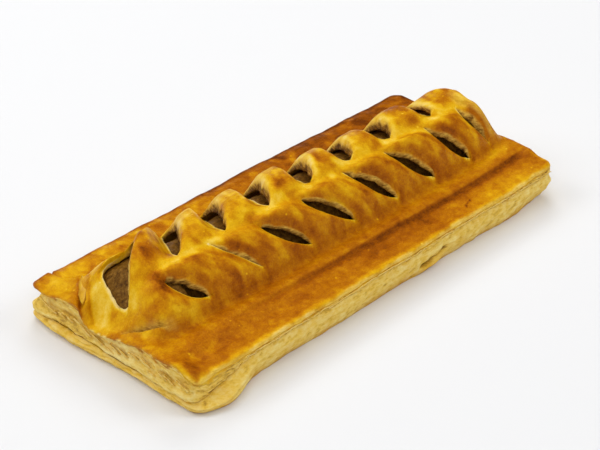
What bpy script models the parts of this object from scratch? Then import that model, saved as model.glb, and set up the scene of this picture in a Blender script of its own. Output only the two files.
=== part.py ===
"""Baked lattice sausage roll: a flat base sheet of puff pastry, a log of sausage meat on it, and an
upper sheet with two rows of slanted slits, puffed over the meat and pressed down along its borders.

Metres, +Z up. X runs along the roll, Y across it, and it rests on its flat underside at Z = 0.
"""

from math import copysign, exp, hypot, pi, sin

import bmesh
import bpy
from mathutils import Vector

MM = 0.001

# Driving dimensions
LENGTH = 172.5 * MM
WIDTH = 73.5 * MM
CORNER_RADIUS = 3.5 * MM
BORDER_HEIGHT = 13.4 * MM        # top of the flat borders beside the dome
DOME_RISE = 14.2 * MM            # crest of the dome above the borders
DOME_CENTRE = 2.5 * MM           # the crest lies a little to the far side
DOME_NEAR_HALF = 19 * MM
DOME_FAR_HALF = (22 * MM, 19 * MM)      # at the left and at the right end
DOME_FULLNESS = 0.85
FAR_FULLER = (0.34, 0.08)        # how much fuller the far strips stand, at the left and right end
SHEET_THICKNESS = 4.0 * MM       # upper sheet over the meat
LATTICE_INSETS = (0.5 * MM, 0.0, 0.8 * MM)            # from its lower to its upper edge
NODE_GAP = 0.3 * MM              # air between neighbouring solids

# Seam between the two sheets: low at the left end, high along the long sides
SEAM_LOW = 4.2 * MM
SEAM_HIGH = 9.4 * MM
SEAM_LOW_END = -84 * MM
SEAM_HIGH_START = -58 * MM
FLOOR_SHEET = 3.5 * MM           # base sheet under the meat
NEAR_WALL_Y = -17 * MM           # where the base starts to rise beside the meat
FAR_WALL_Y = 22 * MM
LEFT_WALL_X = -80 * MM
RIGHT_WALL_X = 80.5 * MM
WALL_SLOPE = 3 * MM
VAULT_START = 2 * MM             # the upper sheet leaves the base where the dome is this high
LEFT_CLOSURE = (-79 * MM, -84 * MM)     # where the upper sheet comes down past the meat's ends
RIGHT_CLOSURE = (80 * MM, 84 * MM)

# Ends of the dome: a long slope at the left, a steep drop at the right
LEFT_SLOPE = (-86 * MM, -70 * MM)
RIGHT_SLOPE = (86.5 * MM, 81 * MM)
RIGHT_LIFT = 1.3 * MM            # the near border rises a little towards the right end
RIGHT_LIFT_FROM = 60 * MM
HUMP_DROP = 1.2 * MM             # the last strip lies lower than the others
HUMP_FROM = 70 * MM

# Pressed groove that seals the near border
GROOVE_Y = -24.3 * MM
GROOVE_DRIFT = 0.9 * MM          # it wanders a little towards the dome at the left
GROOVE_DRIFT_SPAN = (10 * MM, -32 * MM)
GROOVE_DEPTH = 1.2 * MM
GROOVE_HALF_WIDTH = 1.6 * MM
GROOVE_FADE = (-80 * MM, -20 * MM)
LIP_DROP = 1.4 * MM              # the lip outside the groove sits lower
LIP_REACH = 5 * MM
EDGE_DROP = 0.6 * MM

# Slits: both rows slant towards the right end as they run outwards from the crest
PITCH = 20.2 * MM
NEAR_FIRST = -67 * MM            # crest end of the near row's first slit
NEAR_COUNT = 8
NEAR_INNER_Y = -3.6 * MM
NEAR_OUTER_Y = -15.0 * MM
NEAR_RUN = (12.5 * MM, 17.5 * MM)       # slant at the ends and in the middle of the row
NEAR_LAST_RUN = 1.5 * MM                # the last one stands square beside the end hump
NEAR_OPENING = 3.2 * MM
NEAR_ODD = {0: 2.6 * MM, 1: 1.3 * MM, 5: 3.8 * MM, 6: 4.2 * MM, 7: 1.6 * MM}    # openings unlike the others
FAR_FIRST = -57 * MM
FAR_COUNT = 7
FAR_INNER_Y = -0.8 * MM
FAR_OUTER_Y = 19.0 * MM
FAR_RUN = (11.8 * MM, 2.0 * MM)  # slant of the first and of the last far slit
FAR_OPENING = 4.8 * MM
PUFF_NEAR = 1.9 * MM             # rise of the strips between the slits
PUFF_FAR = 2.7 * MM
PUFF_IN = (-0.15, 0.3)           # it swells and dies away over these shares of a slit's length
PUFF_OUT = (1.25, 0.75)
PUFF_FULLNESS = 0.7

# Open end at the left, where the first far strip has torn away from the meat
TEAR_START = (-66 * MM, 20 * MM)
TEAR_END = (-78 * MM, -0.5 * MM)
TEAR_LEFT = 5.6 * MM             # its left side curves more than its right side
TEAR_RIGHT = 2.0 * MM
CREASE_START = (-74 * MM, 26 * MM)
CREASE_END = (-87 * MM, 11 * MM)
CREASE_WIDTH = 1.2 * MM
FRONT_SLIT_START = (-88 * MM, -4.5 * MM)
FRONT_SLIT_END = (-71 * MM, -14.8 * MM)
FRONT_SLIT_WIDTH = 1.6 * MM
SHALLOW_FLOOR = 11.2 * MM        # shallow cuts stop here, inside the thick end of the sheet
THROUGH_FLOOR = 6 * MM           # through cuts start in the hollow under the sheet

# Base sheet
BASE_INSETS = (1.3 * MM, 0.0, -0.4 * MM, 0.5 * MM)    # from the underside to the seam
CORNER_BULGE = 4.4 * MM          # swelling at the near left corner
CORNER_BULGE_X = -75.5 * MM
CORNER_BULGE_REACH = 11 * MM
CORNER_BULGE_AT_SEAM = 0.4       # the swelling fades upwards to this share
NEAR_SIDE_FROM = -0.4            # share of the half width where the near side begins
LIFTED_CORNER = 1.8 * MM         # the near right corner's underside is drawn in
LIFTED_FROM = 66 * MM
END_BULGE = 1.6 * MM             # swelling low on the left end
END_BULGE_Y = 17 * MM
END_BULGE_REACH = 14 * MM

# Sausage meat
MEAT_START = -78.5 * MM
MEAT_END = 79 * MM
MEAT_CENTRE = 3.2 * MM
MEAT_HALF_WIDTH = 14 * MM
MEAT_TOP = 22.5 * MM
MEAT_FLAT = 0.35                 # share of the round section cut off underneath
MEAT_HEAD_ROOM = 0.7 * MM
MEAT_END_ROUND = 5 * MM
MEAT_END_SIZE = 0.72             # size of the end faces against the log's middle

# Mesh resolution
LATTICE_COLUMNS = 64
COLUMN_CROWDING = 0.9            # columns stand closer together at the ends
NEAR_BORDER_ROWS = 5
DOME_ROWS = 12
FAR_BORDER_ROWS = 3
EDGE_ROW = 3 * MM                # width of the outermost row of the near border
BASE_COLUMNS = 34
BASE_ROWS = 12
MEAT_COLUMNS = 30
MEAT_SIDES = 18
CUTTER_SIDES = 12
CUTTER_TOP = 40 * MM
SMOOTH_ANGLE = 0.9               # radians


def clear_scene():
    for obj in list(bpy.data.objects):
        bpy.data.objects.remove(obj, do_unlink=True)


def make_material(name, color, roughness):
    material = bpy.data.materials.new(name)
    material.use_nodes = True
    shader = material.node_tree.nodes["Principled BSDF"]
    shader.inputs["Base Color"].default_value = (*color, 1.0)
    shader.inputs["Roughness"].default_value = roughness
    shader.inputs["Metallic"].default_value = 0.0
    return material


def smooth_step(start, end, value):
    t = min(max((value - start) / (end - start), 0.0), 1.0)
    return t * t * (3.0 - 2.0 * t)


def mix(a, b, factor):
    return a + (b - a) * factor


def round_corners(x, y, half_length, half_width):
    """Pull a point of the full rectangle inside its rounded corners."""
    over_x = abs(x) - (half_length - CORNER_RADIUS)
    over_y = abs(y) - (half_width - CORNER_RADIUS)
    if over_x <= 0 or over_y <= 0:
        return x, y
    pull = max(over_x, over_y) / hypot(over_x, over_y)
    x = copysign(half_length - CORNER_RADIUS + over_x * pull, x)
    y = copysign(half_width - CORNER_RADIUS + over_y * pull, y)
    return x, y


def near_slits():
    """Crest end, outer end and opening of each slit of the near row."""
    slits = []
    for i in range(NEAR_COUNT):
        x = NEAR_FIRST + i * PITCH
        run = mix(NEAR_RUN[0], NEAR_RUN[1], sin(pi * i / (NEAR_COUNT - 1)))
        if i == NEAR_COUNT - 1:
            run = NEAR_LAST_RUN
        opening = NEAR_ODD.get(i, NEAR_OPENING)
        slits.append(((x, NEAR_INNER_Y), (x + run, NEAR_OUTER_Y), opening))
    return slits


def far_slits():
    """Crest end, outer end and opening of each slit of the far row."""
    slits = []
    for i in range(FAR_COUNT):
        x = FAR_FIRST + i * PITCH
        run = mix(FAR_RUN[0], FAR_RUN[1], i / (FAR_COUNT - 1))
        slits.append(((x, FAR_INNER_Y), (x + run, FAR_OUTER_Y), FAR_OPENING))
    return slits


def line_x(slit, y):
    """Where a slit's centre line, continued, stands at this y."""
    (x0, y0), (x1, y1), _ = slit
    return x0 + (x1 - x0) * (y - y0) / (y1 - y0)


def puff(x, y, slits, inner_y, outer_y):
    """0 on the slits, 1 in the middle of the strips between them."""
    span = (y - inner_y) / (outer_y - inner_y)
    reach = smooth_step(*PUFF_IN, span) * smooth_step(*PUFF_OUT, span)
    if reach == 0.0:
        return 0.0
    lines = [line_x(slit, y) for slit in slits]
    lines.insert(0, lines[0] - PITCH)
    lines.append(lines[-1] + PITCH)
    for left, right in zip(lines, lines[1:]):
        if left <= x < right:
            return reach * sin(pi * (x - left) / (right - left)) ** PUFF_FULLNESS
    return 0.0


def dome_ends(x):
    return smooth_step(*LEFT_SLOPE, x) * smooth_step(*RIGHT_SLOPE, x)


def dome_far_half(x):
    return mix(*DOME_FAR_HALF, smooth_step(-LENGTH / 3, LENGTH / 3, x))


def dome(x, y, fuller=0.0):
    """Smooth hump of the upper sheet over the meat, above the borders."""
    half_width = DOME_NEAR_HALF if y < DOME_CENTRE else dome_far_half(x)
    across = abs(y - DOME_CENTRE) / half_width
    if across >= 1.0:
        return 0.0
    crest = DOME_RISE - HUMP_DROP * smooth_step(HUMP_FROM, RIGHT_SLOPE[1], x)
    return crest * (1.0 - across ** 2) ** (DOME_FULLNESS - fuller) * dome_ends(x)


def groove_y(x):
    return GROOVE_Y + GROOVE_DRIFT * smooth_step(*GROOVE_DRIFT_SPAN, x)


def groove(x, y):
    strength = smooth_step(*GROOVE_FADE, x)
    return strength * exp(-((y - groove_y(x)) / GROOVE_HALF_WIDTH) ** 2)


def lattice_top(x, y):
    lip = smooth_step(groove_y(x), groove_y(x) - LIP_REACH, y)
    near_border = smooth_step(DOME_CENTRE, DOME_CENTRE - DOME_NEAR_HALF, y)
    lift = RIGHT_LIFT * near_border * smooth_step(RIGHT_LIFT_FROM, LENGTH / 2, x)
    far_puff = puff(x, y, far_slits(), FAR_INNER_Y, FAR_OUTER_Y)
    fuller = far_puff * mix(*FAR_FULLER, smooth_step(-LENGTH / 4, LENGTH / 5, x))
    height = BORDER_HEIGHT - LIP_DROP * lip + lift
    height += dome(x, y, fuller)
    height -= GROOVE_DEPTH * groove(x, y)
    ends = dome_ends(x)
    height += PUFF_NEAR * ends * puff(x, y, near_slits(), NEAR_INNER_Y, NEAR_OUTER_Y)
    height += PUFF_FAR * ends * far_puff
    return height


def seam(x):
    return mix(SEAM_LOW, SEAM_HIGH, smooth_step(SEAM_LOW_END, SEAM_HIGH_START, x))


def lattice_underside(x, y):
    """Lies on the base sheet at the borders and vaults over the meat between them."""
    rise = dome(x, y)
    ceiling = BORDER_HEIGHT + rise - SHEET_THICKNESS
    closed_end = max(smooth_step(*LEFT_CLOSURE, x), smooth_step(*RIGHT_CLOSURE, x))
    vault = smooth_step(0.0, VAULT_START, rise) * (1.0 - closed_end)
    bed = seam(x) + NODE_GAP
    return max(bed, mix(bed, ceiling, vault))


def base_top(x, y):
    """Thin under the meat, thick along the borders."""
    near_wall = smooth_step(NEAR_WALL_Y, NEAR_WALL_Y - WALL_SLOPE, y)
    far_wall = smooth_step(FAR_WALL_Y, FAR_WALL_Y + WALL_SLOPE, y)
    left_wall = smooth_step(LEFT_WALL_X, LEFT_WALL_X - WALL_SLOPE, x)
    right_wall = smooth_step(RIGHT_WALL_X, RIGHT_WALL_X + WALL_SLOPE, x)
    return mix(FLOOR_SHEET, seam(x), max(near_wall, far_wall, left_wall, right_wall))


def grid_box(columns, rows, layers):
    """A box from -1 to 1 with its faces divided evenly along X, Y and Z."""
    bm = bmesh.new()
    bmesh.ops.create_cube(bm, size=2.0)
    for axis, cells in enumerate((columns, rows, layers)):
        edges = []
        for edge in bm.edges:
            start, end = edge.verts
            if abs(start.co[axis] - end.co[axis]) > 1.0:
                edges.append(edge)
        bmesh.ops.subdivide_edges(bm, edges=edges, cuts=cells - 1, use_grid_fill=True)
    return bm


def link_mesh(name, bm, material):
    bm.normal_update()
    bmesh.ops.recalc_face_normals(bm, faces=bm.faces)
    mesh = bpy.data.meshes.new(name)
    bm.to_mesh(mesh)
    bm.free()
    mesh.shade_smooth()
    mesh.set_sharp_from_angle(angle=SMOOTH_ANGLE)
    obj = bpy.data.objects.new(name, mesh)
    bpy.context.scene.collection.objects.link(obj)
    if material is not None:
        mesh.materials.append(material)
    return obj


def lattice_row_y(row, x):
    """Rows of the upper sheet: they follow the groove, crowd over the dome and spread behind it."""
    near_foot = DOME_CENTRE - DOME_NEAR_HALF
    far_foot = DOME_CENTRE + dome_far_half(x)
    line = groove_y(x)
    near_rows = (-WIDTH / 2, -WIDTH / 2 + EDGE_ROW, line - GROOVE_HALF_WIDTH, line,
                 line + GROOVE_HALF_WIDTH)
    if row < NEAR_BORDER_ROWS:
        return near_rows[row]
    row -= NEAR_BORDER_ROWS
    if row <= DOME_ROWS:
        return mix(near_foot, far_foot, row / DOME_ROWS)
    return mix(far_foot, WIDTH / 2, (row - DOME_ROWS) / FAR_BORDER_ROWS)


def make_lattice(material):
    rows = NEAR_BORDER_ROWS + DOME_ROWS + FAR_BORDER_ROWS
    layers = len(LATTICE_INSETS) - 1
    bm = grid_box(LATTICE_COLUMNS, rows, layers)
    for vert in bm.verts:
        level = round((vert.co.z + 1.0) / 2.0 * layers)
        row = round((vert.co.y + 1.0) / 2.0 * rows)
        inset = LATTICE_INSETS[level]
        x = LENGTH / 2 * sin(COLUMN_CROWDING * vert.co.x) / sin(COLUMN_CROWDING)
        y = lattice_row_y(row, x)
        x, y = round_corners(x, y, LENGTH / 2, WIDTH / 2)
        x *= 1.0 - inset / (LENGTH / 2)
        y *= 1.0 - inset / (WIDTH / 2)
        on_side = row in (0, rows) or abs(vert.co.x) > 0.999
        top = lattice_top(x, y)
        if on_side:
            top -= EDGE_DROP
        vert.co = Vector((x, y, mix(lattice_underside(x, y), top, level / layers)))
    return link_mesh("pastry_lattice", bm, material)


def make_base(material):
    layers = len(BASE_INSETS) - 1
    bm = grid_box(BASE_COLUMNS, BASE_ROWS, layers)
    for vert in bm.verts:
        level = round((vert.co.z + 1.0) / 2.0 * layers)
        x, y = round_corners(vert.co.x * LENGTH / 2, vert.co.y * WIDTH / 2, LENGTH / 2, WIDTH / 2)
        near_side = smooth_step(NEAR_SIDE_FROM, -1.0, vert.co.y)
        lifted = near_side * smooth_step(LIFTED_FROM, LENGTH / 2, x)
        inset = BASE_INSETS[level] + LIFTED_CORNER * lifted * max(0.0, 1.0 - level / 2)
        bulge = CORNER_BULGE * exp(-((x - CORNER_BULGE_X) / CORNER_BULGE_REACH) ** 2) * near_side
        if level == layers:
            bulge *= CORNER_BULGE_AT_SEAM
        x *= 1.0 - inset / (LENGTH / 2)
        y *= 1.0 - inset / (WIDTH / 2)
        y -= bulge
        if vert.co.x < -0.999 and level < layers:
            x -= END_BULGE * exp(-((y - END_BULGE_Y) / END_BULGE_REACH) ** 2)
        vert.co = Vector((x, y, base_top(x, y) * level / layers))
    flat = [edge for edge in bm.edges if all(vert.co.z == 0.0 for vert in edge.verts)]
    inner = [edge for edge in flat if all(abs(f.normal.z) > 0.9 for f in edge.link_faces)]
    bmesh.ops.dissolve_edges(bm, edges=inner, use_verts=True)
    return link_mesh("pastry_base", bm, material)


def make_meat(material):
    bm = bmesh.new()
    bmesh.ops.create_cone(bm, cap_ends=True, segments=MEAT_SIDES, radius1=1.0, radius2=1.0,
                          depth=2.0)
    long_edges = [e for e in bm.edges if abs(e.verts[0].co.z - e.verts[1].co.z) > 1.0]
    bmesh.ops.subdivide_edges(bm, edges=long_edges, cuts=MEAT_COLUMNS - 1)
    length = MEAT_END - MEAT_START
    floor = FLOOR_SHEET + NODE_GAP
    for vert in bm.verts:
        across, up, along = vert.co.x, vert.co.y, (vert.co.z + 1.0) / 2.0
        x = MEAT_START + length * along
        to_end = min(x - MEAT_START, MEAT_END - x)
        end_round = mix(MEAT_END_SIZE, 1.0, smooth_step(0.0, MEAT_END_ROUND, to_end) ** 0.5)
        y = MEAT_CENTRE + MEAT_HALF_WIDTH * across * end_round
        crown = max(0.0, up * (1.0 - MEAT_FLAT) + MEAT_FLAT)          # flat underside
        height = (MEAT_TOP - floor) * end_round
        ceiling = lattice_underside(x, y) - MEAT_HEAD_ROOM
        vert.co = Vector((x, y, min(floor + height * crown, ceiling)))
    return link_mesh("sausage_filling", bm, material)


def make_cutter(name, start, end, bulge_left, bulge_right, floor):
    """An upright prism between two curved sides that meet at start and end."""
    bm = bmesh.new()
    bmesh.ops.create_cone(bm, cap_ends=True, segments=CUTTER_SIDES, radius1=1.0, radius2=1.0,
                          depth=1.0)
    start, end = Vector(start), Vector(end)
    middle = (start + end) / 2
    along = (end - start) / 2
    side = Vector((-along.y, along.x)).normalized()
    if side.x > 0:
        side = -side                                # the left side is the one towards -X
    for vert in bm.verts:
        bulge = bulge_left if vert.co.y > 0 else bulge_right
        place = middle + along * vert.co.x + side * vert.co.y * bulge
        vert.co = Vector((place.x, place.y, CUTTER_TOP if vert.co.z > 0 else floor))
    cutter = link_mesh(name, bm, None)
    cutter.hide_render = True
    cutter.display_type = "WIRE"
    return cutter


def cut(target, cutter):
    modifier = target.modifiers.new(cutter.name, "BOOLEAN")
    modifier.operation = "DIFFERENCE"
    modifier.solver = "EXACT"
    modifier.object = cutter


def cut_lattice(lattice):
    cuts = []
    for i, (start, end, opening) in enumerate(near_slits()):
        cuts.append((f"cut_near_{i}", start, end, opening / 2, opening / 2, THROUGH_FLOOR))
    for i, (start, end, opening) in enumerate(far_slits()):
        cuts.append((f"cut_far_{i}", start, end, opening / 2, opening / 2, THROUGH_FLOOR))
    cuts.append(("cut_open_end", TEAR_START, TEAR_END, TEAR_LEFT, TEAR_RIGHT, THROUGH_FLOOR))
    cuts.append(("cut_front_slit", FRONT_SLIT_START, FRONT_SLIT_END,
                 FRONT_SLIT_WIDTH / 2, FRONT_SLIT_WIDTH / 2, SHALLOW_FLOOR))
    cuts.append(("cut_crease", CREASE_START, CREASE_END,
                 CREASE_WIDTH / 2, CREASE_WIDTH / 2, SHALLOW_FLOOR))
    cutters = [make_cutter(*values) for values in cuts]
    for cutter in cutters:
        cut(lattice, cutter)
    return cutters


def centre_on_floor(objects, cutters):
    """Put the middle of the underside of the whole box at the origin."""
    bpy.context.view_layer.update()
    corners = [obj.matrix_world @ Vector(c) for obj in objects for c in obj.bound_box]
    low = [min(c[i] for c in corners) for i in range(3)]
    high = [max(c[i] for c in corners) for i in range(3)]
    shift = Vector((-(low[0] + high[0]) / 2, -(low[1] + high[1]) / 2, -low[2]))
    for obj in objects + cutters:
        obj.location += shift


def build():
    clear_scene()
    crust = make_material("golden_crust", (0.60, 0.32, 0.04), 0.42)
    pale_crust = make_material("pale_crust", (0.75, 0.52, 0.18), 0.55)
    meat = make_material("sausage_meat", (0.22, 0.12, 0.05), 0.5)
    lattice = make_lattice(crust)
    base = make_base(pale_crust)
    filling = make_meat(meat)
    cutters = cut_lattice(lattice)
    centre_on_floor([lattice, base, filling], cutters)


build()
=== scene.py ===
import math

import bmesh
import bpy
import numpy as np
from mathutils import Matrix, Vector, kdtree, noise


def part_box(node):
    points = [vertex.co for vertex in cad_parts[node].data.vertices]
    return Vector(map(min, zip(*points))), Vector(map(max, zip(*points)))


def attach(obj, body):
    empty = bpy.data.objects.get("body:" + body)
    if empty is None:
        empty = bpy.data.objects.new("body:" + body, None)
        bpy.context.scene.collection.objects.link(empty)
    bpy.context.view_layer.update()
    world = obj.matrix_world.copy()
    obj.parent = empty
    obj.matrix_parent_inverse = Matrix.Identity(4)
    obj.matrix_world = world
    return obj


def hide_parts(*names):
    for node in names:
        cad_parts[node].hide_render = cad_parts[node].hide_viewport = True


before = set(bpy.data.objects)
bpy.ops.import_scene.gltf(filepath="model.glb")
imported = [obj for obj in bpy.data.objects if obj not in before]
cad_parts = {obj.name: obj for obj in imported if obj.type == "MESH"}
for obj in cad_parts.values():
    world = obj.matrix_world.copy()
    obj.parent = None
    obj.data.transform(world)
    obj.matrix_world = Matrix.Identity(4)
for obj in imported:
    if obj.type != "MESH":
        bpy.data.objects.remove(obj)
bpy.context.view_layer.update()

mm = 0.001
sheetLow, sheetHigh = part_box("pastry_lattice")
rollMiddle = Vector(((sheetLow.x + sheetHigh.x) / 2, (sheetLow.y + sheetHigh.y) / 2, 0))

# The roll in millimetres from its middle: X along it, Y towards the far side, Z up
roll = {
    "halfLength": (sheetHigh.x - sheetLow.x) / 2 / mm,
    "halfWidth": (sheetHigh.y - sheetLow.y) / 2 / mm,
    "cornerRadius": 3.5,
    "borderHeight": 13.4,
    "domeRise": 14.2,
    "domeMiddle": 2.5,
    "nearHalf": 19.0,               # from the crest to the near foot of the dome
    "farHalf": (22.0, 19.0),        # to the far foot, at the left and right end
    "fullness": 0.85,
    "leftSlope": (-86.0, -70.0),
    "rightSlope": (85.2, 79.0),
    "humpDrop": 1.2,
    "rightLift": 1.3,
    "seamLow": 3.7,
    "seamHigh": 9.4,
    "seamSpan": (-84.0, -58.0),
    "grooveY": -25.2,
    "grooveDrift": 1.4,
    "grooveDepth": 1.2,
    "grooveHalf": (0.9, 2.3),       # its steep side towards the crest, its easy side towards the lip
    "grooveFade": (-80.0, -20.0),
    "grooveEnd": (86.0, 78.0),
    "lipDrop": 1.4,
    "leafThickness": (1.5, 1.8),    # of the sheet over the meat, on the near and the far side
    "endThickness": 2.4,            # and round the open end
    "leftEnd": (-79.0, -85.0),      # where the side wall turns into the torn wall of the left end
}

# Each slit: crest end, outer end, opening to its left and to its right, width of cut face showing,
# and how far along it gapes widest
nearSlits = [
    ((-68.2, -4.8), (-55.0, -13.9), 2.9, 1.3, 1.9, 0.44),
    ((-46.2, -2.8), (-33.5, -14.0), 0.9, 0.4, 1.6, 0.5),
    ((-26.6, -5.0), (-11.5, -14.8), 2.6, 1.2, 1.1, 0.46),
    ((-6.8, -4.0), (9.0, -15.0), 2.5, 1.3, 1.1, 0.50),
    ((13.8, -2.8), (29.0, -15.2), 2.4, 1.4, 1.6, 0.58),
    ((33.5, -3.4), (48.0, -15.2), 2.9, 1.4, 1.1, 0.62),
    ((54.5, -2.4), (66.6, -15.4), 3.1, 1.6, 1.3, 0.68),
    ((73.0, -1.8), (76.6, -15.2), 1.6, 1.3, 1.6, 0.5),
]
farSlits = [
    ((-78.2, -1.2), (-59.0, 17.2), 12.6, 0.9, 1.5, 0.6),
    ((-57.0, -0.8), (-41.0, 22.4), 2.0, 2.6, 1.0, 0.56),
    ((-37.2, -1.2), (-25.6, 22.4), 2.3, 2.4, 1.0, 0.56),
    ((-17.2, -0.6), (-7.7, 22.0), 2.3, 2.4, 1.0, 0.56),
    ((3.6, 0.0), (11.0, 21.2), 2.3, 2.4, 1.0, 0.56),
    ((23.0, 0.0), (28.7, 21.0), 2.3, 2.4, 1.0, 0.56),
    ((42.6, 0.3), (46.5, 20.5), 2.5, 2.2, 1.0, 0.56),
    ((65.0, 1.6), (67.4, 18.5), 0.15, 0.3, 0.7, 0.5),
]
openEndSlit = farSlits[0]


def clamp(value, low=0.0, high=1.0):
    return min(max(value, low), high)


def ease(start, end, value):
    # 0 up to the start, 1 past the end, smooth between
    t = clamp((value - start) / (end - start))
    return t * t * (3 - 2 * t)


def mix(a, b, factor):
    return a + (b - a) * factor


def bell(offset, width):
    # 1 in the middle, fading out over about twice the width
    return math.exp(-(offset / width) ** 2)


def lumps(x, y, z, size, seed=0.0):
    # soft noise from -1 to 1 whose lumps are about this size
    return noise.noise(Vector((x / size + seed, y / size - seed, z / size + 3.1)))


def domeEnds(x):
    return ease(*roll["leftSlope"], x) * ease(*roll["rightSlope"], x)


def domeHeight(x, y, fuller=0.0):
    farHalf = mix(*roll["farHalf"], ease(-57.5, 57.5, x))
    half = roll["nearHalf"] if y < roll["domeMiddle"] else farHalf
    across = abs(y - roll["domeMiddle"]) / half
    if across >= 1:
        return 0.0
    crest = roll["domeRise"] - roll["humpDrop"] * ease(70, 81, x)
    return crest * (1 - across ** 2) ** (roll["fullness"] - fuller) * domeEnds(x)


def grooveLine(x):
    return roll["grooveY"] + roll["grooveDrift"] * ease(70, -40, x)


def grooveDepth(x, y):
    offset = y - grooveLine(x)
    half = roll["grooveHalf"][0 if offset > 0 else 1]
    ends = ease(*roll["grooveFade"], x) * ease(*roll["grooveEnd"], x)
    return ends * bell(offset, half)


def borderTop(x, y):
    # the sheet without the swelling of its strips
    lip = ease(grooveLine(x), grooveLine(x) - 5, y)
    nearBorder = ease(roll["domeMiddle"], roll["domeMiddle"] - roll["nearHalf"], y)
    height = roll["borderHeight"] - roll["lipDrop"] * lip + domeHeight(x, y)
    height += roll["rightLift"] * nearBorder * ease(60, roll["halfLength"], x)
    return height - roll["grooveDepth"] * grooveDepth(x, y)


def seamHeight(x, y):
    # where the two sheets meet on the outside, never quite level
    height = mix(roll["seamLow"], roll["seamHigh"], ease(*roll["seamSpan"], x))
    lively = mix(1, 1.7, ease(-80, -85, x))
    return height + lively * (0.4 * lumps(x, y, 0, 11, 4.4) + 0.22 * lumps(x, y, 0, 3.6, 7.9))


def sheetUnderside(x, y, fuller=0.0):
    rise = domeHeight(x, y, fuller)
    closed = max(ease(-79, -84, x), ease(80, 84, x))
    vault = ease(0, 2, rise) * (1 - closed)
    bed = seamHeight(x, y) + 0.1
    leaf = mix(*roll["leafThickness"], ease(-4, 4, y))
    leaf = mix(leaf, roll["endThickness"], ease(-60, -67, x))
    return max(bed, mix(bed, roll["borderHeight"] + rise - leaf, vault))


def pastSides(x, y):
    # how far a point lies past the straight stretches of the outline, along X and along Y
    return (abs(x) - (roll["halfLength"] - roll["cornerRadius"]),
            abs(y) - (roll["halfWidth"] - roll["cornerRadius"]))


def roundCorner(x, y):
    # pulls a point of the full rectangle inside its rounded corners
    overX, overY = pastSides(x, y)
    if overX <= 0 or overY <= 0:
        return x, y
    pull = 1 - max(overX, overY) / math.hypot(overX, overY)
    return x - math.copysign(overX * pull, x), y - math.copysign(overY * pull, y)


def outwardAt(x, y):
    # which way is out for a point on the roll's outline
    overX, overY = pastSides(x, y)
    return Vector((math.copysign(max(0, overX), x), math.copysign(max(0, overY), y), 0)).normalized()


def edgeGap(x, y):
    # how far a point lies inside the roll's outline
    overX, overY = pastSides(x, y)
    past = math.hypot(overX, overY) if overX > 0 and overY > 0 else max(overX, overY)
    return roll["cornerRadius"] - past


def wobble(x, y, z):
    # the outline's own unevenness, shared by both sheets
    return 0.5 * lumps(x, y, z * 0.4, 19, 3.3) + 0.25 * lumps(x, y, z * 0.6, 6.5, 8.1)


def strata(along, height, layer, seed):
    # thin leaves of pastry seen edge-on: 1 on a leaf's edge, 0 in the gap under it
    warp = 1.1 * lumps(along, height * 0.6, seed, 13, seed) + 0.45 * lumps(along, height, seed, 3.5, seed)
    phase = height / layer + warp
    leaf = math.floor(phase)
    rise = phase - leaf
    edge = ease(0, 0.35, rise) * ease(1, 0.75, rise)
    reach = 0.6 + 0.4 * lumps(along, leaf * 9.7, seed, 5, seed)
    return edge * reach


def fibres(along, height, seed):
    # torn crumb between the leaves, drawn out upwards
    slant = along + 0.5 * height
    pull = lumps(slant * 2.6, height * 0.7, seed, 2.2, seed)
    return 0.5 + 0.5 * pull + 0.25 * lumps(slant * 3, height * 1.6, seed, 1.1, seed + 3)


def ridges(along, height, size, seed):
    # a web of thin raised strands: 1 on a strand, 0 in a pit
    return clamp(1 - 2.6 * abs(lumps(along, height, seed, size, seed)))


def torn(along, height, seed):
    # flaky pastry pulled apart: strands fanning out across the layers
    slant = along * 0.55 + height * 0.9
    coarse = ridges(slant, height * 1.5, 3.4, seed)
    return 0.55 * coarse + 0.45 * ridges(slant * 1.7, height * 1.9, 2.0, seed + 2)


def madeVerts(made):
    # the new points among what an operator has made
    return [item for item in made["geom"] if isinstance(item, bmesh.types.BMVert)]


def finishPiece(bm, name, material):
    # from millimetres round the roll's middle to metres in the frame
    bmesh.ops.scale(bm, verts=bm.verts, vec=(mm, mm, mm))
    bmesh.ops.translate(bm, verts=bm.verts, vec=rollMiddle)
    bm.normal_update()
    bmesh.ops.recalc_face_normals(bm, faces=bm.faces)
    mesh = bpy.data.meshes.new(name)
    bm.to_mesh(mesh)
    bm.free()
    mesh.shade_smooth()
    mesh.materials.append(material)
    piece = bpy.data.objects.new(name, mesh)
    bpy.context.scene.collection.objects.link(piece)
    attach(piece, "root")
    return piece


def addNode(tree, kind, **settings):
    node = tree.nodes.new(kind)
    for key, value in settings.items():
        setattr(node, key, value)
    return node


def newMaterial(name):
    material = bpy.data.materials.new(name)
    material.use_nodes = True
    tree = material.node_tree
    return material, tree, tree.nodes["Principled BSDF"]


def toLinear(color):
    return [(c / 255 / 12.92) if c <= 10 else ((c / 255 + 0.055) / 1.055) ** 2.4 for c in color]


def colorRamp(tree, factor, stops):
    ramp = addNode(tree, "ShaderNodeValToRGB")
    elements = ramp.color_ramp.elements
    while len(elements) < len(stops):
        elements.new(0.5)
    for element, (place, color) in zip(elements, stops):
        element.position = place
        element.color = (*toLinear(color), 1)
    tree.links.new(factor, ramp.inputs["Fac"])
    return ramp.outputs["Color"]


def noiseNode(tree, coords, scale, detail, roughness, stretch=None, distortion=0.0):
    node = addNode(tree, "ShaderNodeTexNoise")
    node.inputs["Scale"].default_value = scale
    node.inputs["Detail"].default_value = detail
    node.inputs["Roughness"].default_value = roughness
    node.inputs["Distortion"].default_value = distortion
    source = coords
    if stretch is not None:
        mapping = addNode(tree, "ShaderNodeMapping")
        mapping.inputs["Scale"].default_value = stretch
        tree.links.new(coords, mapping.inputs["Vector"])
        source = mapping.outputs["Vector"]
    tree.links.new(source, node.inputs["Vector"])
    return node.outputs["Fac"]


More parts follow.
